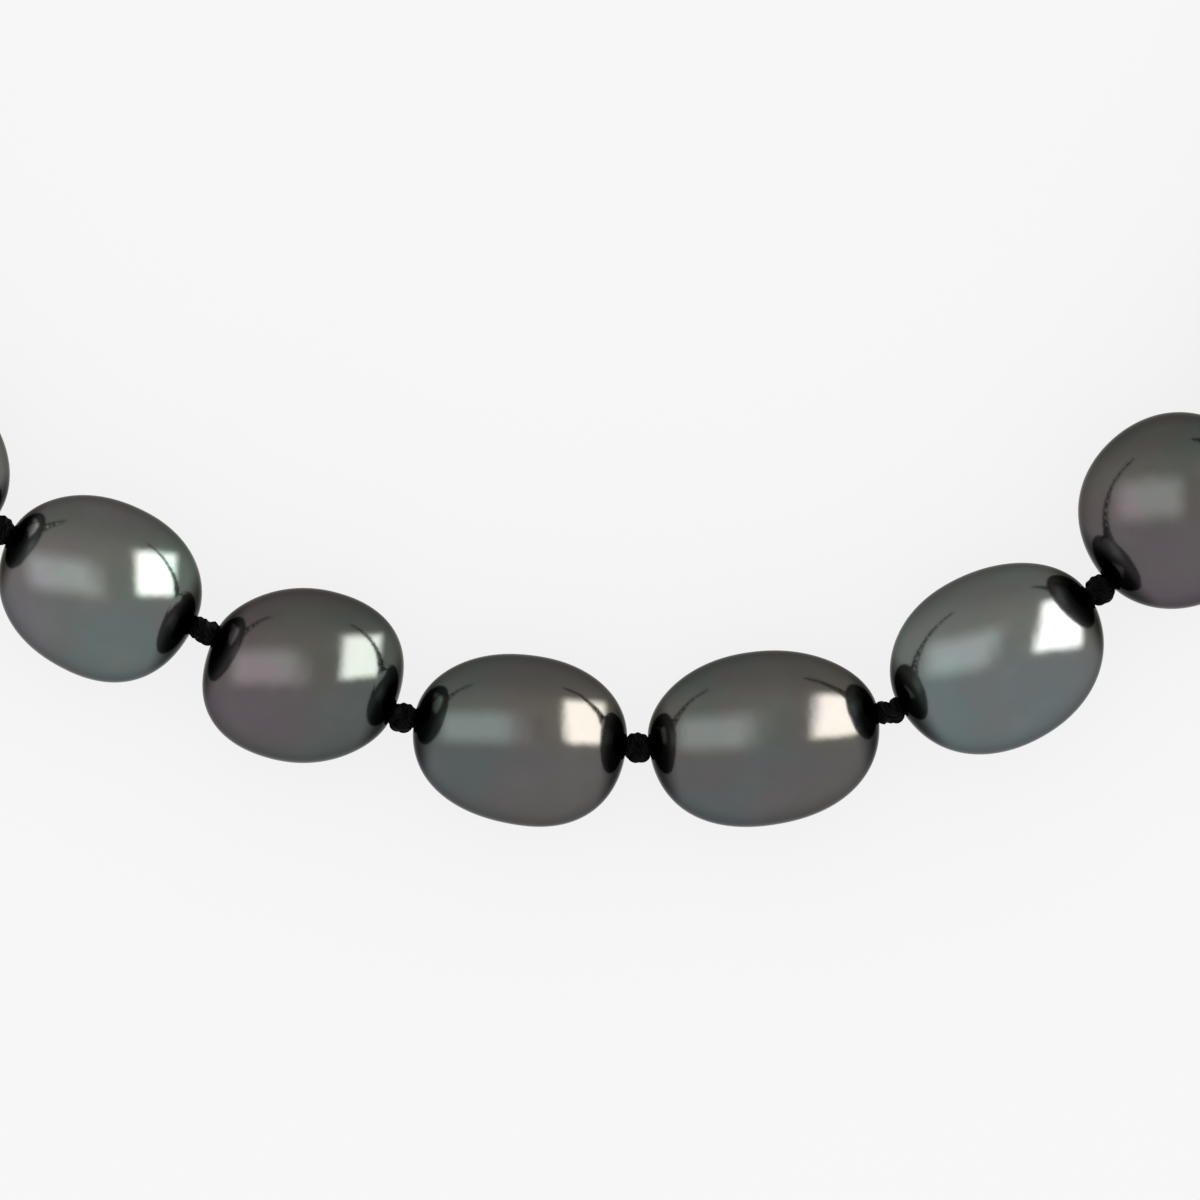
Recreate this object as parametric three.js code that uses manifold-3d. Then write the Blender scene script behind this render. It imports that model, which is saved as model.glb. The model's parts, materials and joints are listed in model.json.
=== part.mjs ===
// A knotted strand of dark baroque pearls with a lobster clasp, lying unclasped in an open U.
// Millimetres, +Z up. The front of the strand is at the lowest Y, and the strand lies on z = 0.
import * as THREE from 'three'
import { mergeVertices } from 'three/addons/utils/BufferGeometryUtils.js'
import Module from 'manifold-3d'

const wasm = await Module()
wasm.setup()

// ---- Driving dimensions ----------------------------------------------------------------

const PEARL_GAP = 1.5 // clear length between two pearls, filled by a knot
const BORE_RADIUS = 0.65
const THREAD_RADIUS = 0.42
const KNOT_RADIUS = 0.95
const KNOT_STEPS = 6
const KNOT_CLEARANCE = 0.2 // between a knot and the thread that starts beside it
const SKIN_POWER = 2.25 // 2 is an ellipse, more is fuller at the ends
const PEARL_SIDES = 14
const PEARL_ROWS = 8
const THREAD_SIDES = 8
const CENTRE_PEARL = 12 // the silk of this pearl carries a knot at both ends

// One row for each pearl, left end to right end: overall length and diameter, how much fatter
// the right end is than the left, how far the body stands off its drill hole towards the
// outside of the curve, the heading of the drill hole in degrees, anticlockwise from +X, and
// the overtone of its nacre.
const PEARLS = [
  { length: 11.8, diameter: 11.0, egg: 0.05, offset: 0.15, heading: -90, tint: 'green' },
  { length: 12.6, diameter: 11.1, egg: -0.1, offset: 0.3, heading: -92, tint: 'grey' },
  { length: 13.4, diameter: 11.3, egg: 0.12, offset: 0.2, heading: -91, tint: 'aubergine' },
  { length: 12.9, diameter: 11.6, egg: -0.06, offset: 0.35, heading: -88, tint: 'teal' },
  { length: 14.1, diameter: 11.4, egg: 0.1, offset: 0.25, heading: -82, tint: 'grey' },
  { length: 13.2, diameter: 11.9, egg: 0.04, offset: 0.1, heading: -76, tint: 'green' },
  { length: 14.6, diameter: 11.7, egg: -0.14, offset: 0.4, heading: -67, tint: 'aubergine' },
  { length: 13.6, diameter: 12.2, egg: 0.08, offset: 0.3, heading: -56, tint: 'grey' },
  { length: 14.3, diameter: 12.0, egg: -0.05, offset: 0.35, heading: -42.2, tint: 'teal' },
  { length: 13.7, diameter: 11.9, egg: 0.12, offset: 0.4, heading: -25.8, tint: 'green' },
  { length: 13.0, diameter: 12.0, egg: 0.03, offset: 0.0, heading: -24.0, tint: 'aubergine' },
  { length: 14.3, diameter: 11.4, egg: 0.04, offset: 0.33, heading: -7.3, tint: 'grey' },
  { length: 15.5, diameter: 11.6, egg: -0.05, offset: 0.55, heading: 8.6, tint: 'grey' },
  { length: 14.7, diameter: 12.0, egg: -0.04, offset: 0.45, heading: 29.6, tint: 'teal' },
  { length: 13.3, diameter: 12.9, egg: 0.03, offset: 0.2, heading: 44.4, tint: 'aubergine' },
  { length: 14.4, diameter: 12.3, egg: 0.1, offset: 0.3, heading: 57, tint: 'grey' },
  { length: 13.5, diameter: 12.1, egg: -0.12, offset: 0.25, heading: 68, tint: 'green' },
  { length: 14.8, diameter: 11.8, egg: 0.06, offset: 0.4, heading: 76.5, tint: 'teal' },
  { length: 13.1, diameter: 12.0, egg: -0.04, offset: 0.15, heading: 82, tint: 'aubergine' },
  { length: 14.0, diameter: 11.5, egg: 0.14, offset: 0.3, heading: 86, tint: 'grey' },
  { length: 12.8, diameter: 11.7, egg: -0.08, offset: 0.3, heading: 88.5, tint: 'green' },
  { length: 13.5, diameter: 11.3, egg: 0.05, offset: 0.2, heading: 91, tint: 'grey' },
  { length: 12.4, diameter: 11.2, egg: -0.05, offset: 0.25, heading: 93, tint: 'aubergine' },
  { length: 11.9, diameter: 11.0, egg: 0.08, offset: 0.15, heading: 90, tint: 'green' }
]

// A wire loop's two legs leave the pearl `neck` off its middle, and are `halfWidth` off it from
// the shoulder on. spread and ease shape the curve between. It droops, in degrees below level,
// under the weight of its ring.
const WIRE_LOOP = {
  start: 0.7,
  neck: 0.62,
  spread: 0.15,
  ease: 0.5,
  shoulder: 1.6,
  reach: 4.3,
  halfWidth: 1.25,
  radius: 0.5,
  sides: 8,
  steps: 22,
  droop: 26
}
const RING = { outerRadius: 2.8, wire: 0.45, sides: 8, steps: 24, floorGap: 0.2, play: 0.25 }

// The clasp lies flat. In its own frame X runs from the eye to the nose, and the lever closes
// the +Y side.
const CLAW_THICKNESS = 3.2
const EYE = { x: 2.2, radius: 2.2, hole: 1.3, thickness: 0.9, lift: 0.4, segments: 20 }
const EYE_BACKSET = 0.08 // how far the eye's centre sits behind the jump ring's wire
const PIVOT = { x: 6.3, y: 2.35, pinRadius: 0.42, holeRadius: 0.55, segments: 12 }
const LEVER_THICKNESS = 1.1
const SLOT_THICKNESS = 1.4

// The hook lies between two ovals about the same centre. Each is followed in degrees from one
// angle to another.
const HOOK_X = 10.6
const HOOK_OUTSIDE = { radiusX: 5.3, radiusY: 4.75, from: -140, to: 48, step: 12 }
const HOOK_INSIDE = { radiusX: 3.65, radiusY: 3.2, from: 50, to: -170, step: -14 }

// Outlines in the clasp's frame, as [x, y].
const CLAW_NECK = [[3.4, -1.1], [5.0, -2.3]]
const LEVER_SEAT = [[7.3, 1.3], [7.3, 3.0], [6.2, 3.5], [4.9, 2.9], [3.4, 1.1]]
const LEVER_SLOT = [[4.7, 0.75], [8.2, 0.75], [8.2, 4.6], [4.7, 4.6]]
const TIP_NOTCH = [[12.0, 2.0], [13.4, 2.0], [13.4, 4.6], [12.0, 4.6]]
const LEVER = [
  [5.35, 1.75], [6.0, 1.25], [6.9, 1.35], [8.2, 1.95], [10.2, 2.45], [12.9, 2.3], [13.0, 3.0], [11.6, 3.5],
  [9.6, 3.65], [7.9, 3.7], [6.9, 4.3], [5.9, 5.5], [4.9, 5.6], [4.8, 4.9], [5.3, 3.9]
]
const SPRING = {
  line: [[4.85, 1.5], [5.2, 1.05], [6.2, 0.92], [7.5, 0.95]],
  radius: 0.13,
  sides: 6,
  steps: 8
}

// ---- Materials -------------------------------------------------------------------------

const NACRE_TINTS = { grey: 0x5b5b5c, green: 0x55605a, aubergine: 0x5f555b, teal: 0x56636a }

const nacre = {}
for (const [name, colour] of Object.entries(NACRE_TINTS)) {
  nacre[name] = new THREE.MeshStandardMaterial({ color: colour, roughness: 0.08, metalness: 0.6 })
}
const silk = new THREE.MeshStandardMaterial({ color: 0x0c0c0d, roughness: 0.8, metalness: 0 })
const whiteGold = new THREE.MeshStandardMaterial({ color: 0xd8d6d0, roughness: 0.18, metalness: 1 })
const springSteel = new THREE.MeshStandardMaterial({ color: 0xb9bcc0, roughness: 0.3, metalness: 1 })

// ---- Geometry helpers ------------------------------------------------------------------

// Turns a geometry into a closed solid with shared vertices.
function toSolid(geometry) {
  const bare = geometry.clone()
  bare.deleteAttribute('normal')
  bare.deleteAttribute('uv')
  const merged = mergeVertices(bare, 1e-4)
  const vertProperties = new Float32Array(merged.attributes.position.array)
  const triVerts = new Uint32Array(merged.index.array)
  return new wasm.Manifold(new wasm.Mesh({ numProp: 3, vertProperties, triVerts }))
}

function toGeometry(solid) {
  const mesh = solid.getMesh()
  const geometry = new THREE.BufferGeometry()
  geometry.setAttribute('position', new THREE.BufferAttribute(new Float32Array(mesh.vertProperties), 3))
  geometry.setIndex(new THREE.BufferAttribute(new Uint32Array(mesh.triVerts), 1))
  geometry.computeVertexNormals()
  return geometry
}

// A body of revolution about X. Each point of the profile is [distance along X, radius].
function turned(profile, sides) {
  const points = profile.map(([along, radius]) => new THREE.Vector2(radius, along))
  return new THREE.LatheGeometry(points, sides).rotateZ(-Math.PI / 2)
}

// A flat plate with the given outline and holes, centred on z = 0.
function plate(points, holes, thickness) {
  const shape = new THREE.Shape(points)
  shape.holes = holes.map((hole) => new THREE.Path(hole))
  const settings = { depth: thickness, bevelEnabled: false, curveSegments: 1 }
  return new THREE.ExtrudeGeometry(shape, settings).translate(0, 0, -thickness / 2)
}

// An outline given as [x, y] rows.
function outline(rows) {
  return rows.map(([x, y]) => new THREE.Vector2(x, y))
}

function disc(radius, segments, x = 0, y = 0) {
  const points = []
  for (let i = 0; i < segments; i++) {
    const angle = (2 * Math.PI * i) / segments
    points.push(new THREE.Vector2(x + radius * Math.cos(angle), y + radius * Math.sin(angle)))
  }
  return points
}

// A round wire along a curve.
function wire(curve, radius, sides, steps) {
  const section = new THREE.Shape(disc(radius, sides))
  return new THREE.ExtrudeGeometry(section, { steps, extrudePath: curve, curveSegments: sides })
}

// ---- Where every pearl lies ------------------------------------------------------------

// The strand is a chain of straight lengths that meet at the knots. A knot lies midway between
// the heights of its two neighbours' middles.
function layOut() {
  const places = PEARLS.map((pearl) => ({ ...pearl, span: pearl.length + PEARL_GAP }))
  const knots = new Array(places.length + 1)
  knots[CENTRE_PEARL] = new THREE.Vector2(0, 0)
  const step = (place) => {
    const angle = THREE.MathUtils.degToRad(place.heading)
    return new THREE.Vector2(Math.cos(angle), Math.sin(angle)).multiplyScalar(place.span)
  }
  for (let i = CENTRE_PEARL; i < places.length; i++) {
    knots[i + 1] = knots[i].clone().add(step(places[i]))
  }
  for (let i = CENTRE_PEARL; i > 0; i--) {
    knots[i - 1] = knots[i].clone().sub(step(places[i - 1]))
  }
  const heights = knots.map((knot, i) => {
    const before = places[Math.max(i - 1, 0)].diameter
    const after = places[Math.min(i, places.length - 1)].diameter
    return (before + after) / 4
  })
  return { places, knots: knots.map((knot, i) => new THREE.Vector3(knot.x, knot.y, heights[i])) }
}

const { places, knots } = layOut()

// Places an object a given share of the way along a pearl's span, with its X axis along the
// drill hole.
function alongStrand(object, i, share) {
  const from = knots[i]
  const to = knots[i + 1]
  const along = to.clone().sub(from).normalize()
  const side = new THREE.Vector3(-along.y, along.x, 0).normalize()
  const up = along.clone().cross(side)
  object.quaternion.setFromRotationMatrix(new THREE.Matrix4().makeBasis(along, side, up))
  object.position.copy(from).addScaledVector(to.clone().sub(from), share)
  return object
}

// ---- Pearls ----------------------------------------------------------------------------

// The outline of an egg along its drill hole, right end first, at its full diameter.
function eggProfile({ length, diameter, egg }) {
  const points = []
  for (let row = 0; row <= PEARL_ROWS; row++) {
    const across = Math.cos((Math.PI * row) / PEARL_ROWS)
    const fullness = Math.pow(1 - Math.pow(Math.abs(across), SKIN_POWER), 1 / SKIN_POWER)
    points.push([(length / 2) * across, fullness * (1 + egg * across)])
  }
  const widest = Math.max(...points.map(([, width]) => width))
  return points.map(([along, width]) => [along, ((diameter / 2) * width) / widest])
}

// A drilled pearl: an egg of revolution about its drill hole, with the body pushed off the
// hole's axis, sideways towards the outside of the strand's curve and up by `lift`.
function pearlGeometry(place, lift) {
  const profile = eggProfile(place)
  profile[0][1] = BORE_RADIUS
  profile[PEARL_ROWS][1] = BORE_RADIUS
  profile.push(profile[0])
  const geometry = turned(profile.reverse(), PEARL_SIDES)
  const position = geometry.attributes.position
  for (let i = 0; i < position.count; i++) {
    const radius = Math.hypot(position.getY(i), position.getZ(i))
    const share = Math.max(0, (radius - BORE_RADIUS) / (place.diameter / 2 - BORE_RADIUS))
    position.setY(i, position.getY(i) - place.offset * share)
    position.setZ(i, position.getZ(i) + lift * share)
  }
  return geometry
}

// Every pearl rests on the ground, whatever the height of the silk through it.
function addPearls(necklace) {
  places.forEach((place, i) => {
    const boreHeight = (knots[i].z + knots[i + 1].z) / 2
    const geometry = pearlGeometry(place, place.diameter / 2 - boreHeight)
    const pearl = new THREE.Mesh(geometry, nacre[place.tint])
    pearl.name = `pearl_${String(i + 1).padStart(2, '0')}`
    necklace.add(alongStrand(pearl, i, 0.5))
  })
}

// ---- Silk ------------------------------------------------------------------------------

// The half-profile of a knot centred on x = 0, left to right, from thread to thread.
function knotProfile(centre) {
  const meet = Math.asin(THREAD_RADIUS / KNOT_RADIUS)
  const points = []
  for (let i = 0; i <= KNOT_STEPS; i++) {
    const angle = Math.PI - meet - ((Math.PI - 2 * meet) * i) / KNOT_STEPS
    points.push([centre + KNOT_RADIUS * Math.cos(angle), KNOT_RADIUS * Math.sin(angle)])
  }
  return points
}

// The silk of one pearl, from left to right. A side with no knot starts clear of the
// neighbour's knot, and the strand's two end threads stop inside their wire loops' pearl.
function silkGeometry(place, knotLeft, knotRight) {
  const half = place.span / 2
  const endCap = half - KNOT_RADIUS - KNOT_CLEARANCE
  const profile = []
  if (knotLeft) {
    profile.push([-half - KNOT_RADIUS, 0], ...knotProfile(-half))
  } else {
    profile.push([-endCap, 0], [-endCap, THREAD_RADIUS])
  }
  if (knotRight) {
    profile.push(...knotProfile(half), [half + KNOT_RADIUS, 0])
  } else {
    profile.push([endCap, THREAD_RADIUS], [endCap, 0])
  }
  return turned(profile, THREAD_SIDES)
}

function addSilk(necklace) {
  places.forEach((place, i) => {
    const number = i + 1
    const knotLeft = number <= CENTRE_PEARL && number > 1
    const knotRight = number >= CENTRE_PEARL && number < places.length
    const thread = new THREE.Mesh(silkGeometry(place, knotLeft, knotRight), silk)
    thread.name = `silk_${String(number).padStart(2, '0')}`
    necklace.add(alongStrand(thread, i, 0.5))
  })
}

// ---- End fittings ----------------------------------------------------------------------

// Each end of the strand is a frame at its last pearl's outer face, with X pointing away from
// the pearl and Z straight up.
function endFrame(side) {
  const last = side === 'left' ? 0 : places.length - 1
  const outer = side === 'left' ? knots[0] : knots[places.length]
  const inner = side === 'left' ? knots[1] : knots[places.length - 1]
  const away = Math.atan2(outer.y - inner.y, outer.x - inner.x)
  const group = new THREE.Group()
  group.position.set(outer.x, outer.y, places[last].diameter / 2)
  group.rotation.z = away
  group.translateX(-PEARL_GAP / 2)
  return group
}

// A flat hairpin of covered silk that leaves the pearl, turns round and goes back in.
function wireLoop() {
  const { start, neck, spread, ease, shoulder, reach, halfWidth, radius, sides, steps } = WIRE_LOOP
  const bend = reach - halfWidth - radius
  const bulge = (halfWidth * 4) / 3 // the handles that make a Bezier curve a half circle
  const path = new THREE.CurvePath()
  const curve = (...rows) => {
    path.add(new THREE.CubicBezierCurve3(...rows.map(([x, y]) => new THREE.Vector3(x, y, 0))))
  }
  const straight = (...rows) => {
    path.add(new THREE.LineCurve3(...rows.map(([x, y]) => new THREE.Vector3(x, y, 0))))
  }
  const leg = (side) => [
    [start, side * neck],
    [start + spread, side * halfWidth],
    [start + ease, side * halfWidth],
    [shoulder, side * halfWidth]
  ]
  curve(...leg(-1))
  straight([shoulder, -halfWidth], [bend, -halfWidth])
  curve([bend, -halfWidth], [bend + bulge, -halfWidth], [bend + bulge, halfWidth], [bend, halfWidth])
  straight([bend, halfWidth], [shoulder, halfWidth])
  curve(...leg(1).reverse())
  return wire(path, radius, sides, steps)
}

// A round ring that stands on edge in the XZ plane, centred on the origin.
function roundRing() {
  const section = disc(RING.wire, RING.sides, RING.outerRadius - RING.wire)
  section.push(section[0].clone())
  return new THREE.LatheGeometry(section, RING.steps)
}

// The middle of a wire loop's far bend, which its ring hangs on, in the end frame.
function crownPlace() {
  const droop = THREE.MathUtils.degToRad(WIRE_LOOP.droop)
  const along = WIRE_LOOP.reach - WIRE_LOOP.radius
  return new THREE.Vector3(along * Math.cos(droop), 0, -along * Math.sin(droop))
}

// The ring stands just clear of the ground and hangs on the crown with a little play.
function ringPlace(boreHeight) {
  const crown = crownPlace()
  const room = RING.outerRadius - 2 * RING.wire - WIRE_LOOP.radius - RING.play
  const z = RING.floorGap + RING.outerRadius - boreHeight
  return new THREE.Vector3(crown.x + Math.sqrt(room ** 2 - (crown.z - z) ** 2), 0, z)
}

function addEnd(necklace, side, ringName) {
  const end = endFrame(side)
  const loop = new THREE.Mesh(wireLoop(), whiteGold)
  loop.name = `french_wire_loop_${side}`
  loop.rotation.y = THREE.MathUtils.degToRad(WIRE_LOOP.droop)
  const ring = new THREE.Mesh(roundRing(), whiteGold)
  ring.name = ringName
  ring.position.copy(ringPlace(end.position.z))
  end.add(loop, ring)
  necklace.add(end)
  return end
}

// ---- Lobster clasp ---------------------------------------------------------------------

// Points along one of the hook's two ovals.
function hookOval({ radiusX, radiusY, from, to, step }) {
  const points = []
  for (let degrees = from; step > 0 ? degrees <= to : degrees >= to; degrees += step) {
    const angle = THREE.MathUtils.degToRad(degrees)
    points.push(new THREE.Vector2(HOOK_X + radiusX * Math.cos(angle), radiusY * Math.sin(angle)))
  }
  return points
}

const pivotHole = disc(PIVOT.holeRadius, PIVOT.segments, PIVOT.x, PIVOT.y)

// The claw: a thin raised eye, a neck, the outer curve from the root round the nose to the
// hook's tip, and back along the inner curve to the lever's seat, with a slot for the lever.
function clawGeometry() {
  const hook = [...hookOval(HOOK_OUTSIDE), ...hookOval(HOOK_INSIDE)]
  const body = [...outline(CLAW_NECK), ...hook, ...outline(LEVER_SEAT)]
  const rim = disc(EYE.radius, EYE.segments, EYE.x)
  const hole = disc(EYE.hole, EYE.segments, EYE.x)
  const eye = toSolid(plate(rim, [hole], EYE.thickness).translate(0, 0, EYE.lift))
  const claw = toSolid(plate(body, [pivotHole], CLAW_THICKNESS))
  const slot = toSolid(plate(outline(LEVER_SLOT), [], SLOT_THICKNESS))
  const notch = toSolid(plate(outline(TIP_NOTCH), [], SLOT_THICKNESS))
  return toGeometry(claw.add(eye).subtract(slot).subtract(notch))
}

// The lever: a boss on the pin, a thumb tab that stands out of the claw, and an arm that
// reaches the hook's tip.
function leverGeometry() {
  return plate(outline(LEVER), [pivotHole], LEVER_THICKNESS)
}

// The spring: a strip in the slot's floor that bows up against the lever's heel.
function springGeometry() {
  const path = new THREE.CatmullRomCurve3(SPRING.line.map(([x, y]) => new THREE.Vector3(x, y, 0)))
  return wire(path, SPRING.radius, SPRING.sides, SPRING.steps)
}

// The claw lies on the ground, and its eye surrounds the far side of the jump ring.
function addClasp(end) {
  const boreHeight = end.position.z
  const ring = ringPlace(boreHeight)
  const middle = CLAW_THICKNESS / 2 - boreHeight
  const below = ring.z - (middle + EYE.lift)
  const wireX = ring.x + Math.sqrt((RING.outerRadius - RING.wire) ** 2 - below ** 2)
  const clasp = new THREE.Group()
  clasp.position.set(wireX - EYE.x - EYE_BACKSET, 0, middle)
  const claw = new THREE.Mesh(clawGeometry(), whiteGold)
  claw.name = 'clasp_claw'
  const lever = new THREE.Mesh(leverGeometry(), whiteGold)
  lever.name = 'clasp_lever'
  const { pinRadius, segments } = PIVOT
  const rod = new THREE.CylinderGeometry(pinRadius, pinRadius, CLAW_THICKNESS, segments)
  const pin = new THREE.Mesh(rod.rotateX(Math.PI / 2), springSteel)
  pin.name = 'clasp_pivot_pin'
  pin.position.set(PIVOT.x, PIVOT.y, 0)
  const spring = new THREE.Mesh(springGeometry(), springSteel)
  spring.name = 'clasp_spring'
  clasp.add(claw, lever, pin, spring)
  end.add(clasp)
}

// ---- The necklace ----------------------------------------------------------------------

// The strand is centred on the origin once everything is in place.
function build() {
  const necklace = new THREE.Group()
  addPearls(necklace)
  addSilk(necklace)
  addEnd(necklace, 'left', 'end_ring')
  addClasp(addEnd(necklace, 'right', 'clasp_jump_ring'))
  const box = new THREE.Box3().setFromObject(necklace, true)
  const centre = box.getCenter(new THREE.Vector3())
  necklace.position.set(-centre.x, -centre.y, -box.min.z)
  return necklace
}

export default build()
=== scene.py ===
# Looks for a knotted strand of dark baroque pearls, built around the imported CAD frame. Metres, +Z up.
import json
import math
import random

import bmesh
import bpy
from mathutils import Matrix, Vector


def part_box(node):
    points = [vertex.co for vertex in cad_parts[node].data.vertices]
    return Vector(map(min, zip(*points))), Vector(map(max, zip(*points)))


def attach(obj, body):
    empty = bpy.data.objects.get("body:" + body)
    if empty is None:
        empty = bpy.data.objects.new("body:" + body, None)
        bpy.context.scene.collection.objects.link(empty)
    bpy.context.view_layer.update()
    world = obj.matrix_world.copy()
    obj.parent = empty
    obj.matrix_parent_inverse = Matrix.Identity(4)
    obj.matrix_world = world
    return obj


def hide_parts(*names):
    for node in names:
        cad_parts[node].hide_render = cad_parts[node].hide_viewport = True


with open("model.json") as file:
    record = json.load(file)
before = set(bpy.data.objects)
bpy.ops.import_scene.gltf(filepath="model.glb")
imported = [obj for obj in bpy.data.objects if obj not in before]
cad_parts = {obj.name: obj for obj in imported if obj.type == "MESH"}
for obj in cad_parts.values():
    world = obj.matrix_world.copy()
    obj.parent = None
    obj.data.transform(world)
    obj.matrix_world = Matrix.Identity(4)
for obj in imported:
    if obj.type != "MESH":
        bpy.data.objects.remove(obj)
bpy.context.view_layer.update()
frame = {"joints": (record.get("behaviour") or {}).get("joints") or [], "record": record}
MM = 0.001

# ---- Sizes that repeat the CAD model's, in millimetres ---------------------------------------------

PEARL_GAP = 1.5
BORE_RADIUS = 0.65
THREAD_RADIUS = 0.42
CENTRE_PEARL = 12
PEARL_COUNT = 24
LOOP_NECK, LOOP_SHOULDER, LOOP_BEND, LOOP_HALF_WIDTH = 0.62, 1.6, 2.55, 1.25
LOOP_DROOP = math.radians(26)
RING_RADIUS, RING_WIRE = 2.35, 0.45
CLAW_THICKNESS, LEVER_THICKNESS, SLOT_THICKNESS = 3.2, 1.1, 1.4
EYE_X, EYE_RADIUS, EYE_WIRE, EYE_LIFT = 2.2, 1.75, 0.45, 0.4
PIVOT = (6.3, 2.35)
HOOK_X, HOOK_OUTSIDE, HOOK_INSIDE = 10.6, (5.3, 4.75), (3.65, 3.2)

# ---- Shapes of single pearls ------------------------------------------------------------------------

# How a pearl departs from an egg of revolution. egg: how much fatter the right end is. offset: how far
# the body stands off its drill hole, outwards. lean: how far its long axis turns from the drill hole,
# in degrees. fullness: 2 is an ellipse, more is boxier.
SHAPES = {
    9: {"egg": -0.02, "offset": 0.35, "lean": 0, "fullness": 2.2},
    10: {"egg": 0.05, "offset": 0.4, "lean": 0, "fullness": 2.15},
    11: {"egg": 0.0, "offset": 0.0, "lean": 8, "fullness": 2.15},
    12: {"egg": 0.04, "offset": 0.33, "lean": 0, "fullness": 2.2},
    13: {"egg": -0.04, "offset": 0.55, "lean": 0, "fullness": 2.15},
    14: {"egg": -0.03, "offset": 0.45, "lean": 0, "fullness": 2.1},
    15: {"egg": 0.0, "offset": -0.38, "lean": 0, "fullness": 2.02},
}


# ---- Small tools ------------------------------------------------------------------------------------


def new_object(name, bm, matrix=None, smooth=True):
    """An object from a bmesh whose points are millimetres in its own frame."""
    mesh = bpy.data.meshes.new(name)
    bmesh.ops.recalc_face_normals(bm, faces=bm.faces)
    for vertex in bm.verts:
        vertex.co *= MM
    for face in bm.faces:
        face.smooth = smooth
    bm.to_mesh(mesh)
    bm.free()
    obj = bpy.data.objects.new(name, mesh)
    bpy.context.scene.collection.objects.link(obj)
    if matrix is not None:
        obj.matrix_world = matrix
    return obj


def place(obj, material, body, slot, *nodes):
    """Gives a piece its material and the body that it moves with, and hides the CAD nodes that it stands for.
    """
    obj.data.materials.clear()
    obj.data.materials.append(material)
    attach(obj, body)
    if nodes:
        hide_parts(*nodes)
    return obj


def bridge(bm, rings, closed):
    """Joins rings of vertices, one after another, into a skin. closed also joins the last to the first."""
    count = len(rings[0])
    pairs = list(zip(rings, rings[1:]))
    if closed:
        pairs.append((rings[-1], rings[0]))
    for a, b in pairs:
        for i in range(count):
            j = (i + 1) % count
            bm.faces.new((a[i], a[j], b[j], b[i]))


def sweep(bm, path, radius, sides, closed=False, twist=0.0, lobes=0, depth=0.0):
    """A tube along a list of points. twist turns its section, in radians per step; lobes and depth make
    the section that of twisted plies."""
    count = len(path)
    rings = []
    normal = None
    for i, point in enumerate(path):
        if closed:
            tangent = (path[(i + 1) % count] - path[i - 1]).normalized()
        else:
            tangent = (path[min(i + 1, count - 1)] - path[max(i - 1, 0)]).normalized()
        if normal is None:
            normal = tangent.orthogonal().normalized()
        normal = (normal - tangent * normal.dot(tangent)).normalized()
        side = tangent.cross(normal)
        size = radius(i / (count - 1)) if callable(radius) else radius
        ring = []
        for k in range(sides):
            angle = 2 * math.pi * k / sides
            r = size * (1 + depth * math.cos(lobes * (angle - twist * i))) if lobes else size
            ring.append(bm.verts.new(point + normal * (r * math.cos(angle)) + side * (r * math.sin(angle))))
        rings.append(ring)
    bridge(bm, rings, closed)
    if not closed:
        bm.faces.new(rings[0])
        bm.faces.new(rings[-1])
    return rings


def slab(outline, thickness):
    """A flat plate with the given outline, centred on z = 0."""
    bm = bmesh.new()
    low = [bm.verts.new((x, y, -thickness / 2)) for x, y in outline]
    high = [bm.verts.new((x, y, thickness / 2)) for x, y in outline]
    bm.faces.new(low)
    bm.faces.new(high)
    bridge(bm, [low, high], closed=False)
    return bm


def cylinder(x, y, radius, length, sides=48):
    outline = []
    for k in range(sides):
        angle = 2 * math.pi * k / sides
        outline.append((x + radius * math.cos(angle), y + radius * math.sin(angle)))
    return slab(outline, length)


def modify(obj, kind, **settings):
    """Adds a modifier and applies it at once."""
    modifier = obj.modifiers.new(kind.lower(), kind)
    for key, value in settings.items():
        setattr(modifier, key, value)
    depsgraph = bpy.context.evaluated_depsgraph_get()
    mesh = bpy.data.meshes.new_from_object(obj.evaluated_get(depsgraph))
    obj.modifiers.clear()
    old, obj.data = obj.data, mesh
    bpy.data.meshes.remove(old)
    for face in mesh.polygons:
        face.use_smooth = True


def cut(obj, bm):
    """Cuts a closed shape, given in the object's own frame, out of an object."""
    cutter = new_object("cutter", bm, obj.matrix_world)
    modify(obj, "BOOLEAN", object=cutter, operation="DIFFERENCE", solver="EXACT")
    bpy.data.objects.remove(cutter)


def smooth_outline(rows, steps):
    return [(p.x, p.y) for p in smooth_path([Vector((x, y, 0)) for x, y in rows], steps, closed=True)]


def smooth_path(points, steps, closed=False):
    """A Catmull-Rom curve through the points, with a number of steps for each stretch."""
    count = len(points)
    path = []
    for i in range(count if closed else count - 1):
        if closed:
            p0, p1, p2, p3 = (points[(i + k) % count] for k in (-1, 0, 1, 2))
        else:
            p0, p1, p2, p3 = (points[min(max(i + k, 0), count - 1)] for k in (-1, 0, 1, 2))
        for s in range(steps):
            t = s / steps
            path.append(
                0.5 * ((2 * p1) + (p2 - p0) * t + (2 * p0 - 5 * p1 + 4 * p2 - p3) * t * t
                       + (3 * p1 - p0 - 3 * p2 + p3) * t ** 3)
            )
    if not closed:
        path.append(points[-1].copy())
    return path


# ---- Node materials ---------------------------------------------------------------------------------


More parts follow.
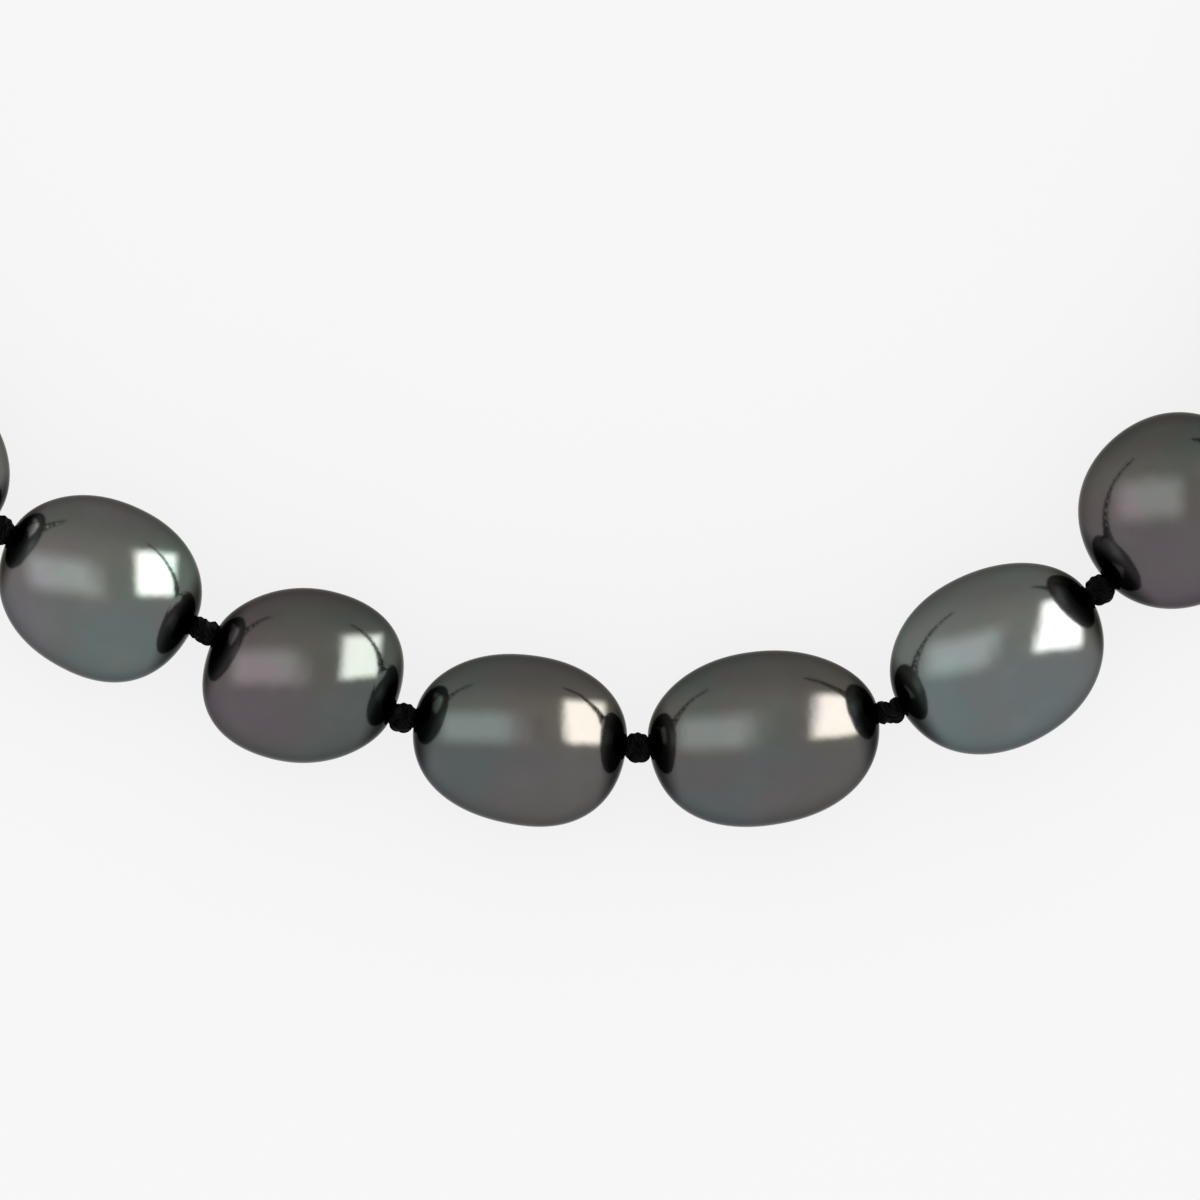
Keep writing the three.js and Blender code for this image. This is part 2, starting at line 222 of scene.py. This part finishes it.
class Nodes:
    """A short way to write node trees."""

    def __init__(self, tree):
        self.tree = tree
        tree.nodes.clear()

    def add(self, kind, inputs=None, **settings):
        node = self.tree.nodes.new(kind)
        for key, value in settings.items():
            setattr(node, key, value)
        for key, value in (inputs or {}).items():
            self.set(node.inputs[key], value)
        return node

    def set(self, socket, value):
        if isinstance(value, bpy.types.NodeSocket):
            self.tree.links.new(value, socket)
        else:
            socket.default_value = value

    def math(self, operation, a, b=0.0, c=0.0, clamp=False):
        node = self.add("ShaderNodeMath", {0: a, 1: b, 2: c}, operation=operation, use_clamp=clamp)
        return node.outputs[0]

    def step(self, value, low, high):
        """0 below low and 1 above high, with a smooth change between."""
        node = self.add("ShaderNodeMapRange", {0: value, 1: low, 2: high, 3: 0.0, 4: 1.0},
                        interpolation_type="SMOOTHSTEP")
        return node.outputs[0]

    def mix(self, factor, a, b, blend="MIX"):
        node = self.add("ShaderNodeMix", {0: factor, 6: a, 7: b}, data_type="RGBA", blend_type=blend)
        return node.outputs[2]


def rgb(r, g, b):
    return (r, g, b, 1.0)


def new_material(name):
    material = bpy.data.materials.new(name)
    material.use_nodes = True
    return material, Nodes(material.node_tree)


def nacre(name, base, left, right):
    """Mirror-bright nacre: a dark body whose overtone drifts from one end to the other, near black round the
    drill holes with painted shade and a painted dark reflection of the neighbouring pearls, and with faint
    growth rings and a few pits."""
    material, n = new_material(name)
    coordinates = n.add("ShaderNodeTexCoord").outputs
    info = n.add("ShaderNodeObjectInfo")
    shift = n.add("ShaderNodeVectorMath", {0: coordinates["Object"], 1: info.outputs["Location"]},
                  operation="ADD")
    point = shift.outputs[0]
    across = n.add("ShaderNodeSeparateXYZ", {0: coordinates["Generated"]}).outputs[0]
    drift = n.add("ShaderNodeTexNoise", {"Vector": point, "Scale": 170.0, "Detail": 2.0, "Roughness": 0.5})
    patch = n.add("ShaderNodeTexNoise", {"Vector": point, "Scale": 330.0, "Detail": 3.0, "Roughness": 0.55})
    along = n.math("MULTIPLY_ADD", n.math("SUBTRACT", drift.outputs[0], 0.5), 2.0, across)
    colour = n.mix(n.step(along, 0.5, 0.1), base, left)
    colour = n.mix(n.step(along, 0.5, 0.9), colour, right)
    pale = tuple(1.2 * c for c in base[:3]) + (1.0,)
    colour = n.mix(n.math("MULTIPLY", n.step(patch.outputs[0], 0.4, 0.75), 0.4), colour, pale)
    # Near black towards both drill holes: painted shade between the pearls and the painted dark reflection of
    # each neighbour.
    from_middle = n.math("ABSOLUTE", n.math("MULTIPLY_ADD", across, 2.0, -1.0))
    colour = n.mix(n.step(from_middle, 0.76, 0.94), colour, rgb(0.04, 0.041, 0.041))
    fine = n.add("ShaderNodeTexNoise", {"Vector": point, "Scale": 2600.0, "Detail": 2.0})
    rough = n.math("MULTIPLY_ADD", fine.outputs[0], 0.06, 0.1)
    bands = n.add("ShaderNodeTexWave", {"Vector": point, "Scale": 210.0, "Distortion": 3.0, "Detail": 2.0,
                                        "Detail Scale": 1.2}, bands_direction="X")
    pits = n.add("ShaderNodeTexVoronoi", {"Vector": point, "Scale": 300.0}, feature="F1")
    pit = n.step(pits.outputs["Distance"], 0.0, 0.05)
    height = n.math("ADD", n.math("MULTIPLY", bands.outputs[1], 0.12), n.math("MULTIPLY", pit, 0.5))
    height = n.math("MULTIPLY_ADD", patch.outputs[0], 0.9, height)
    bump = n.add("ShaderNodeBump", {"Height": height, "Strength": 0.12, "Distance": 0.0002})
    shader = n.add("ShaderNodeBsdfPrincipled", {
        "Base Color": colour, "Metallic": 1.0, "Roughness": rough, "Normal": bump.outputs[0],
        "Specular Tint": rgb(0.45, 0.45, 0.45),
    })
    n.add("ShaderNodeOutputMaterial", {"Surface": shader.outputs[0]})
    return material


def silk_material():
    """Black twisted silk: fine plies whose ridges are a shade paler as a painted sheen, over a soft real
    gloss.
    """
    material, n = new_material("black_silk")
    point = n.add("ShaderNodeTexCoord").outputs["Object"]
    fibres = n.add("ShaderNodeTexWave", {"Vector": point, "Scale": 1500.0, "Distortion": 2.5, "Detail": 2.0,
                                         "Detail Scale": 2.0}, bands_direction="DIAGONAL")
    fuzz = n.add("ShaderNodeTexNoise", {"Vector": point, "Scale": 9000.0, "Detail": 3.0})
    # The fibre ridges a shade paler: painted sheen on the plies.
    colour = n.mix(fibres.outputs[1], rgb(0.0008, 0.0008, 0.001), rgb(0.004, 0.004, 0.0044))
    height = n.math("ADD", fibres.outputs[1], n.math("MULTIPLY", fuzz.outputs[0], 0.5))
    bump = n.add("ShaderNodeBump", {"Height": height, "Strength": 0.5, "Distance": 0.00006})
    shader = n.add("ShaderNodeBsdfPrincipled", {
        "Base Color": colour, "Roughness": 0.62, "Normal": bump.outputs[0],
        "Specular IOR Level": 0.06,
    })
    n.add("ShaderNodeOutputMaterial", {"Surface": shader.outputs[0]})
    return material


def metal_material(name, colour, roughness, scratch_scale):
    """Polished metal with hairline scratches and slight clouding where it is handled."""
    material, n = new_material(name)
    point = n.add("ShaderNodeTexCoord").outputs["Object"]
    stretch = n.add("ShaderNodeMapping", {"Vector": point, "Scale": (1.0, 14.0, 14.0)})
    hair = n.add("ShaderNodeTexNoise", {"Vector": stretch.outputs[0], "Scale": scratch_scale, "Detail": 4.0})
    cloud = n.add("ShaderNodeTexNoise", {"Vector": point, "Scale": 500.0, "Detail": 3.0})
    tone = n.mix(cloud.outputs[0], tuple(c * 0.93 for c in colour[:3]) + (1.0,), colour)
    rough = n.math("MULTIPLY_ADD", cloud.outputs[0], 0.12, roughness)
    bump = n.add("ShaderNodeBump", {"Height": hair.outputs[0], "Strength": 0.08, "Distance": 0.00005})
    shader = n.add("ShaderNodeBsdfPrincipled", {
        "Base Color": tone, "Metallic": 1.0, "Roughness": rough, "Normal": bump.outputs[0],
    })
    n.add("ShaderNodeOutputMaterial", {"Surface": shader.outputs[0]})
    return material


# Each nacre's own colour, then its overtone at the left and at the right end.
NACRES = {
    "nacre_grey": nacre("grey_nacre", rgb(0.16, 0.154, 0.154), rgb(0.144, 0.165, 0.162),
                        rgb(0.165, 0.157, 0.147)),
    "nacre_green": nacre("green_nacre", rgb(0.195, 0.206, 0.2), rgb(0.21, 0.2, 0.216),
                         rgb(0.18, 0.225, 0.212)),
    "nacre_aubergine": nacre("aubergine_nacre", rgb(0.15, 0.147, 0.144), rgb(0.165, 0.137, 0.15),
                             rgb(0.135, 0.154, 0.147)),
    "nacre_teal": nacre("teal_nacre", rgb(0.206, 0.226, 0.228), rgb(0.192, 0.24, 0.242),
                        rgb(0.216, 0.222, 0.223)),
}
SILK = silk_material()
WHITE_METAL = metal_material("white_gold", rgb(0.83, 0.81, 0.77), 0.1, 900.0)
SPRING_STEEL = metal_material("spring_steel", rgb(0.62, 0.63, 0.65), 0.25, 1500.0)


# ---- Where the strand runs ----------------------------------------------------------------------------


def strand_frames():
    """Each pearl's own frame, with X along its drill hole, and its span from knot to knot in millimetres."""
    knots = {}
    spins = {}
    for joint in frame["joints"]:
        words = joint["name"].split("_")
        if words[0] == "knot":
            knots[int(words[1])] = Vector(joint["pos_m"])
        if words[-1] == "spin":
            spins[int(words[1])] = (Vector(joint["pos_m"]), Vector(joint["axis"]).normalized())
    frames = {}
    for i, (middle, along) in spins.items():
        side = Vector((-along.y, along.x, 0)).normalized()
        up = along.cross(side)
        matrix = Matrix((along, side, up)).transposed().to_4x4()
        matrix.translation = middle
        knot = knots[i] if i in knots else knots[i - 1]
        frames[i] = (matrix, 2 * (knot - middle).length / MM)
    return frames


# ---- Pearls -------------------------------------------------------------------------------------------

ROWS, SIDES = 60, 96
LIP = 0.12  # how far outside the bore the skin starts, and how far inside the pearl's length the bore does
SWELLING = 0.006  # share of a pearl's radius that one of its waves adds or takes away


def shape_of(number):
    if number in SHAPES:
        return SHAPES[number]
    dice = random.Random(number)
    return {"egg": dice.uniform(-0.12, 0.12), "offset": dice.uniform(0.1, 0.4),
            "lean": dice.uniform(-6, 6), "fullness": dice.uniform(2.1, 2.3)}


def pearl_mesh(number, length, diameter, lift):
    """A drilled baroque pearl along X: a skin of rings from end to end, then the bore's wall back."""
    shape = shape_of(number)
    dice = random.Random(100 + number)
    waves = [(dice.uniform(0.5, 1.4), dice.choice((1, 2, 3)), dice.uniform(0, 2 * math.pi)) for _ in range(4)]
    half, radius = length / 2, diameter / 2
    power = shape["fullness"]
    slope = math.tan(math.radians(shape["lean"]))

    def width(across):
        return (1 - abs(across) ** power) ** (1 / power) * (1 + shape["egg"] * across)

    widest = max(width(math.cos(math.pi * k / 200)) for k in range(1, 200))
    lip = BORE_RADIUS + LIP
    first = next(k for k in range(1, 2000) if radius * width(math.cos(math.pi * k / 4000)) / widest > lip)
    low = math.pi * first / 4000
    bm = bmesh.new()
    rings = []
    for row in range(ROWS + 1):
        angle = low + (math.pi - 2 * low) * row / ROWS
        across = math.cos(angle)
        size = max(radius * width(across) / widest, lip)
        share = 1 - (1 - (size - BORE_RADIUS) / (radius - BORE_RADIUS)) ** 2
        ring = []
        for k in range(SIDES):
            turn = 2 * math.pi * k / SIDES
            swell = sum(math.sin(f * 2 * across + m * turn + p) for f, m, p in waves) * SWELLING
            r = size * (1 + swell * share)
            x = half * across
            y = r * math.cos(turn) + (slope * x - shape["offset"]) * share
            ring.append(bm.verts.new((x, y, r * math.sin(turn) + lift * share)))
        rings.append(ring)
    # Whatever its swellings, the pearl's underside just touches the floor.
    settle = (lift - radius) / min(vertex.co.z for vertex in bm.verts)
    for vertex in bm.verts:
        vertex.co.z *= settle
    inner = [half - LIP, half - 0.6, 0.0, 0.6 - half, LIP - half]
    for x in reversed(inner):
        ring = []
        for k in range(SIDES):
            turn = 2 * math.pi * k / SIDES
            ring.append(bm.verts.new((x, BORE_RADIUS * math.cos(turn), BORE_RADIUS * math.sin(turn))))
        rings.append(ring)
    bridge(bm, rings, closed=True)
    return bm


def build_pearls(frames):
    slots = {part["node"]: part["material_slot"] for part in frame["record"]["subparts"]}
    for number, (matrix, span) in frames.items():
        name = f"pearl_{number:02d}"
        low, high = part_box(name)
        diameter = (high.z - low.z) / MM
        lift = ((high.z + low.z) / 2 - matrix.translation.z) / MM
        obj = new_object(f"{name}_nacre", pearl_mesh(number, span - PEARL_GAP, diameter, lift), matrix)
        place(obj, NACRES[slots[name]], name, slots[name], name)


# ---- Silk ---------------------------------------------------------------------------------------------

# An overhand knot's route, in thread radii, from left to right.
KNOT_ROUTE = [
    (-1.4, 0.0, 0.0), (-1.15, 0.1, 0.25), (-0.85, 0.35, 0.6), (0.0, -0.55, -0.45), (0.85, -0.35, 0.55),
    (1.0, 0.75, 0.25), (0.0, 1.15, 0.0), (-1.0, 0.75, -0.25), (-0.85, -0.35, -0.55), (0.0, -0.55, 0.45),
    (0.85, 0.35, -0.6), (1.15, 0.1, -0.25), (1.4, 0.0, 0.0),
]
KNOT_SCALE = (0.5, 0.64, 0.66)
KNOT_CORD = 0.44
KNOT_VOXEL = 0.055
KNOT_TUCK = 0.45
THREAD_STEPS = 70


def knot_shape():
    """A tight lumpy overhand knot, fused into one skin."""
    bm = bmesh.new()
    points = [Vector((x * KNOT_SCALE[0], y * KNOT_SCALE[1], z * KNOT_SCALE[2])) for x, y, z in KNOT_ROUTE]
    sweep(bm, smooth_path(points, 7), KNOT_CORD, 20, twist=0.55, lobes=3, depth=0.1)
    obj = new_object("knot_shape", bm)
    modify(obj, "REMESH", mode="VOXEL", voxel_size=KNOT_VOXEL * MM)
    modify(obj, "SMOOTH", factor=0.5, iterations=2)
    fused = obj.data
    bpy.data.objects.remove(obj)
    return fused


def build_silk(frames):
    """Each pearl's thread with the knot at its outer end; the centre thread has both. A thread runs on
    into the knots beside it, but the strand's two ends stop inside their pearl."""
    knot = knot_shape()
    for number, (matrix, span) in frames.items():
        half = span / 2
        low = (KNOT_TUCK if number > 1 else 2 * PEARL_GAP) - half
        high = half - (KNOT_TUCK if number < PEARL_COUNT else 2 * PEARL_GAP)
        bm = bmesh.new()
        path = [Vector((low + (high - low) * i / THREAD_STEPS, 0, 0)) for i in range(THREAD_STEPS + 1)]
        sweep(bm, path, THREAD_RADIUS, 16, twist=0.5, lobes=3, depth=0.09)
        knots = []
        if 1 < number <= CENTRE_PEARL:
            knots.append(-half)
        if CENTRE_PEARL <= number < PEARL_COUNT:
            knots.append(half)
        for x in knots:
            roll = math.radians((number * 61 + (29 if x > 0 else 0)) % 140 - 50)
            turned = knot.copy()
            turned.transform(Matrix.Translation((x, 0, 0)) @ Matrix.Rotation(roll, 4, "X")
                             @ Matrix.Scale(1 / MM, 4))
            bm.from_mesh(turned)
            bpy.data.meshes.remove(turned)
        obj = new_object(f"silk_{number:02d}_thread", bm, matrix)
        place(obj, SILK, f"silk_{number:02d}", "silk", f"silk_{number:02d}")
    bpy.data.meshes.remove(knot)


# ---- French wire and rings --------------------------------------------------------------------------

LOOP_SILK_RADIUS = 0.36
COIL_RADIUS, COIL_PITCH, COIL_WIRE_RADIUS = 0.42, 0.17, 0.08


def end_frame(frames, number, sign):
    """A strand end's own frame, at the end pearl's face, with X pointing away from it and Z up."""
    matrix, span = frames[number]
    outer = matrix @ Vector((sign * span / 2 * MM, 0, 0))
    away = sign * matrix.to_3x3().col[0]
    turn = Matrix.Rotation(math.atan2(away.y, away.x), 4, "Z")
    return Matrix.Translation(outer) @ turn @ Matrix.Translation((-PEARL_GAP / 2 * MM, 0, 0))


def coil_round(path, radius, pitch, steps):
    """A helix that winds round a path."""
    lengths = [0.0]
    for a, b in zip(path, path[1:]):
        lengths.append(lengths[-1] + (b - a).length)
    points = []
    normal = Vector((0, 0, 1))
    k = 0
    for i in range(int(lengths[-1] / pitch * steps)):
        along = pitch * i / steps
        while lengths[k + 1] < along:
            k += 1
        tangent = (path[k + 1] - path[k]).normalized()
        normal = (normal - tangent * normal.dot(tangent)).normalized()
        side = tangent.cross(normal)
        angle = 2 * math.pi * i / steps
        middle = path[k] + tangent * (along - lengths[k])
        size = radius(along / lengths[-1])
        points.append(middle + normal * (size * math.cos(angle)) + side * (size * math.sin(angle)))
    return points


def build_wire_loop(end, side, body):
    """Fine wire coiled on the silk where it turns round outside the last pearl."""
    # One leg from inside the pearl to the round bend; the other is its mirror image.
    leg = [(-0.5, 0.27), (0.05, 0.3), (0.75, LOOP_NECK), (1.3, 1.0), (LOOP_SHOULDER + 0.35, LOOP_HALF_WIDTH)]
    arc = []
    for degrees in range(90, -91, -15):
        angle = math.radians(degrees)
        arc.append((LOOP_BEND + LOOP_HALF_WIDTH * math.cos(angle), LOOP_HALF_WIDTH * math.sin(angle)))
    rows = leg + arc + [(x, -y) for x, y in reversed(leg)]
    path = smooth_path([Vector((x, y, 0)) for x, y in rows], 8)
    matrix = end @ Matrix.Rotation(LOOP_DROOP, 4, "Y")

    def narrowing(share):
        """Thinner where the two legs share the drill hole."""
        from_end = min(share, 1 - share)
        return 0.62 + 0.38 * min(1.0, from_end / 0.13)

    bm = bmesh.new()
    sweep(bm, path, lambda share: LOOP_SILK_RADIUS * narrowing(share), 12)
    core = new_object(f"wire_loop_{side}_silk", bm, matrix)
    place(core, SILK, body, "silk")
    bm = bmesh.new()
    helix = coil_round(path, lambda share: COIL_RADIUS * narrowing(share), COIL_PITCH, 14)
    sweep(bm, helix, COIL_WIRE_RADIUS, 6)
    coil = new_object(f"wire_loop_{side}_coil", bm, matrix)
    place(coil, WHITE_METAL, body, "white_metal", f"french_wire_loop_{side}")


def build_ring(name, body, cut_at, opening):
    """A round wire ring on edge. Its cut is a fine gap, or where opening is 0 a soldered seam."""
    low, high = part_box(name)
    steps = 120
    turn = 2 * math.pi - opening
    path = []
    for i in range(steps if opening == 0 else steps + 1):
        angle = cut_at + opening / 2 + turn * i / steps
        path.append(Vector((0, RING_RADIUS * math.cos(angle), RING_RADIUS * math.sin(angle))))

    def seam(share):
        nearest = min(share, 1 - share)
        return RING_WIRE * (1 - 0.07 * math.exp(-((nearest * steps / 0.8) ** 2)))

    bm = bmesh.new()
    sweep(bm, path, seam, 28, closed=opening == 0)
    ring = new_object(f"{name}_wire", bm, Matrix.Translation((low + high) / 2))
    place(ring, WHITE_METAL, body, "white_metal", name)


# ---- Lobster clasp ----------------------------------------------------------------------------------

CLAW_NECK = [(3.4, -1.1), (4.3, -1.75), (5.3, -2.65)]
HOOK_TIP = [(13.2, 3.95), (12.55, 3.85), (12.3, 3.3), (12.55, 2.7)]
LEVER_SEAT = [(7.15, 0.95), (7.35, 1.9), (7.2, 3.0), (6.2, 3.5), (4.9, 2.9), (3.9, 1.6), (3.2, 1.05)]
LEVER_SLOT = [(4.7, 0.75), (8.2, 0.75), (8.2, 4.6), (4.7, 4.6)]
TIP_NOTCH = [(12.0, 2.0), (13.4, 2.0), (13.4, 4.6), (12.0, 4.6)]
LEVER_LINE = [
    (5.35, 1.75), (6.1, 1.3), (6.9, 1.4), (8.2, 1.95), (9.3, 2.3), (10.4, 2.45), (11.8, 2.4), (12.8, 2.35),
    (12.95, 2.7), (12.7, 3.05), (11.6, 3.45), (9.8, 3.6), (8.3, 3.68), (7.5, 3.85), (6.95, 4.3), (6.75, 4.42),
    (6.72, 4.62), (6.48, 4.68), (6.44, 4.9), (6.2, 4.96), (6.16, 5.18), (5.9, 5.36), (5.5, 5.55), (5.0, 5.5),
    (4.85, 5.0), (5.05, 4.4), (5.3, 3.7), (5.2, 2.6),
]
SPRING_LINE = [(4.85, 1.5), (5.2, 1.05), (6.0, 0.92), (6.8, 0.95)]
SPRING_RADIUS = 0.12
CLAW_HOLE_RADIUS, LEVER_HOLE_RADIUS = 0.46, 0.5
LEVER_EDGE = 0.16


def oval(radii, degrees):
    angle = math.radians(degrees)
    return (HOOK_X + radii[0] * math.cos(angle), radii[1] * math.sin(angle))


def build_claw(matrix):
    """A full-bodied hook with soft edges, an eye at its root, and a slot and a notch for the lever."""
    outside = [oval(HOOK_OUTSIDE, angle) for angle in range(-134, 49, 14)]
    inside = [oval(HOOK_INSIDE, angle) for angle in range(32, -165, -14)]
    outline = smooth_outline(CLAW_NECK + outside + HOOK_TIP + inside + LEVER_SEAT, 5)
    claw = new_object("clasp_claw_body", slab(outline, CLAW_THICKNESS), matrix)
    modify(claw, "REMESH", mode="VOXEL", voxel_size=0.11 * MM)
    modify(claw, "SMOOTH", factor=0.5, iterations=24)
    eye = bmesh.new()
    turns = [2 * math.pi * i / 64 for i in range(64)]
    circle = [Vector((EYE_X + EYE_RADIUS * math.cos(a), EYE_RADIUS * math.sin(a), EYE_LIFT)) for a in turns]
    sweep(eye, circle, EYE_WIRE, 24, closed=True)
    joined = bmesh.new()
    joined.from_mesh(claw.data)
    bmesh.ops.scale(joined, vec=(1 / MM,) * 3, verts=joined.verts)
    part = bpy.data.meshes.new("eye")
    eye.to_mesh(part)
    eye.free()
    joined.from_mesh(part)
    bpy.data.meshes.remove(part)
    bpy.data.objects.remove(claw)
    claw = new_object("clasp_claw_body", joined, matrix)
    modify(claw, "REMESH", mode="VOXEL", voxel_size=0.1 * MM)
    modify(claw, "SMOOTH", factor=0.6, iterations=5)
    cut(claw, slab(LEVER_SLOT, SLOT_THICKNESS))
    cut(claw, slab(TIP_NOTCH, SLOT_THICKNESS))
    cut(claw, cylinder(*PIVOT, CLAW_HOLE_RADIUS, CLAW_THICKNESS * 2))
    # One closed skin again, without the slivers that the cuts leave.
    modify(claw, "REMESH", mode="VOXEL", voxel_size=0.09 * MM)
    modify(claw, "SMOOTH", factor=0.5, iterations=2)
    place(claw, WHITE_METAL, "clasp", "white_metal", "clasp_claw")


def build_lever(matrix):
    lever = new_object("clasp_lever_arm", slab(smooth_outline(LEVER_LINE, 4), LEVER_THICKNESS), matrix)
    cut(lever, cylinder(*PIVOT, LEVER_HOLE_RADIUS, LEVER_THICKNESS * 2))
    modify(lever, "BEVEL", width=LEVER_EDGE * MM, segments=4, limit_method="ANGLE",
           angle_limit=math.radians(50))
    place(lever, WHITE_METAL, "clasp_lever", "white_metal", "clasp_lever")


def build_pin(matrix):
    """The pivot pin, its two ends peened into low domes."""
    bm = bmesh.new()
    reach = CLAW_THICKNESS / 2
    rows = [(-reach + 0.02, 0.12), (-reach + 0.05, 0.28), (-reach + 0.13, 0.4), (-reach + 0.25, 0.42)]
    rows += [(-z, r) for z, r in reversed(rows)]
    rings = []
    for z, radius in rows:
        ring = []
        for k in range(40):
            angle = 2 * math.pi * k / 40
            x, y = PIVOT[0] + radius * math.cos(angle), PIVOT[1] + radius * math.sin(angle)
            ring.append(bm.verts.new((x, y, z)))
        rings.append(ring)
    bridge(bm, rings, closed=False)
    bm.faces.new(rings[0])
    bm.faces.new(rings[-1])
    place(new_object("clasp_pin", bm, matrix), SPRING_STEEL, "clasp", "spring_steel", "clasp_pivot_pin")


def build_spring(matrix):
    bm = bmesh.new()
    sweep(bm, smooth_path([Vector((x, y, 0)) for x, y in SPRING_LINE], 10), SPRING_RADIUS, 12)
    place(new_object("clasp_spring_strip", bm, matrix), SPRING_STEEL, "clasp", "spring_steel", "clasp_spring")


def build_ends(frames):
    right = end_frame(frames, PEARL_COUNT, 1)
    left = end_frame(frames, 1, -1)
    build_wire_loop(left, "left", "silk_01")
    build_wire_loop(right, "right", f"silk_{PEARL_COUNT}")
    build_ring("end_ring", "end_ring", math.radians(200), 0.0)
    build_ring("clasp_jump_ring", "clasp_jump_ring", math.radians(75), 0.02)
    pivot = next(joint for joint in frame["joints"] if joint["name"] == "clasp_lever_open")
    upright = right.to_3x3().to_4x4()
    from_pivot = Matrix.Translation((-PIVOT[0] * MM, -PIVOT[1] * MM, 0))
    matrix = Matrix.Translation(pivot["pos_m"]) @ upright @ from_pivot
    build_claw(matrix)
    build_lever(matrix)
    build_pin(matrix)
    build_spring(matrix)


# ---- Stage --------------------------------------------------------------------------------------------

# Soft panels round the strand, as a mirror ball would show them from above: left, right, bottom and top
# edge from -1 to 1, how soft the edge is, and the colour.
SOFTBOX = {"edges": (0.3, 0.7, -0.02, 0.5), "soft": 0.06, "colour": (6.0, 5.85, 5.5)}
FILL_PANEL = {"edges": (-0.62, -0.02, -0.06, 0.3), "soft": 0.12, "colour": (1.4, 1.45, 1.4)}
STUDIO_BELOW, STUDIO_AHEAD, STUDIO_FAR = (0.66, 0.66, 0.67), (0.66, 0.64, 0.58), (0.46, 0.45, 0.42)


def panel(n, x, y, edges, soft):
    """1 inside a soft-edged rectangle."""
    left, right, bottom, top = edges
    across = n.math("MULTIPLY", n.step(x, left - soft, left + soft), n.step(x, right + soft, right - soft))
    along = n.math("MULTIPLY", n.step(y, bottom - soft, bottom + soft), n.step(y, top + soft, top - soft))
    return n.math("MULTIPLY", across, along)


def studio_light(n, direction):
    """What the pearls and the metal mirror: a plain grey studio with a softbox and a fill panel."""
    split = n.add("ShaderNodeSeparateXYZ", {0: direction}).outputs
    reach = n.math("SQRT", n.math("MAXIMUM", n.math("MULTIPLY_ADD", split[2], 2.0, 2.0), 0.0004))
    x = n.math("DIVIDE", split[0], reach)
    y = n.math("DIVIDE", split[1], reach)
    light = n.mix(n.step(y, -0.3, 0.15), rgb(*STUDIO_BELOW), rgb(*STUDIO_AHEAD))
    light = n.mix(n.step(y, 0.35, 0.8), light, rgb(*STUDIO_FAR))
    for lamp in (FILL_PANEL, SOFTBOX):
        light = n.mix(panel(n, x, y, lamp["edges"], lamp["soft"]), light, rgb(*lamp["colour"]))
    return light


def world_light():
    """An even white dome for everything matt, and the studio's panels for what mirrors them."""
    world = bpy.data.worlds.new("studio")
    world.use_nodes = True
    bpy.context.scene.world = world
    n = Nodes(world.node_tree)
    direction = n.add("ShaderNodeTexCoord").outputs["Generated"]
    panels = studio_light(n, direction)
    path = n.add("ShaderNodeLightPath")
    light = n.mix(path.outputs["Is Glossy Ray"], rgb(0.95, 0.95, 0.95), panels)
    background = n.add("ShaderNodeBackground", {"Color": light, "Strength": 1.0})
    n.add("ShaderNodeOutputWorld", {"Surface": background.outputs[0]})


def floor():
    """A pale sheet, lit mostly from within so that shadows on it stay faint."""
    material, n = new_material("pale_floor")
    point = n.add("ShaderNodeTexCoord").outputs["Object"]
    grain = n.add("ShaderNodeTexNoise", {"Vector": point, "Scale": 40.0})
    tone = n.mix(grain.outputs[0], rgb(0.935, 0.94, 0.94), rgb(0.945, 0.945, 0.945))
    matt = n.add("ShaderNodeBsdfDiffuse", {"Color": tone})
    glow = n.add("ShaderNodeEmission", {"Color": tone})
    mixed = n.add("ShaderNodeMixShader", {0: 0.85, 1: matt.outputs[0], 2: glow.outputs[0]})
    n.add("ShaderNodeOutputMaterial", {"Surface": mixed.outputs[0]})
    bm = bmesh.new()
    reach = 9000.0
    corners = [bm.verts.new((x * reach, y * reach, 0)) for x, y in ((-1, -1), (1, -1), (1, 1), (-1, 1))]
    bm.faces.new(corners)
    obj = new_object("floor", bm, smooth=False)
    obj.data.materials.append(material)
    obj.visible_glossy = False


# The view is 80 mm across, and its middle is 10 mm behind the centre knot and 2.5 mm to its left.
VIEW_WIDTH, CAMERA_HEIGHT, SENSOR = 80.0, 700.0, 36.0
AIM_LEFT, AIM_BEHIND, AIM_HEIGHT = 2.5, 10.0, 6.0


def camera(frames):
    matrix, span = frames[CENTRE_PEARL]
    knot = matrix @ Vector((span / 2 * MM, 0, 0))
    data = bpy.data.cameras.new("camera")
    data.sensor_width = SENSOR
    data.lens = SENSOR * (CAMERA_HEIGHT - AIM_HEIGHT) / VIEW_WIDTH
    data.clip_end = 50.0
    obj = bpy.data.objects.new("camera", data)
    obj.location = (knot.x - AIM_LEFT * MM, knot.y + AIM_BEHIND * MM, CAMERA_HEIGHT * MM)
    bpy.context.scene.collection.objects.link(obj)
    bpy.context.scene.camera = obj


# ---- All of it ----------------------------------------------------------------------------------------

frames = strand_frames()
camera(frames)
world_light()
floor()
build_pearls(frames)
build_silk(frames)
build_ends(frames)
bpy.context.scene.view_settings.view_transform = "Standard"
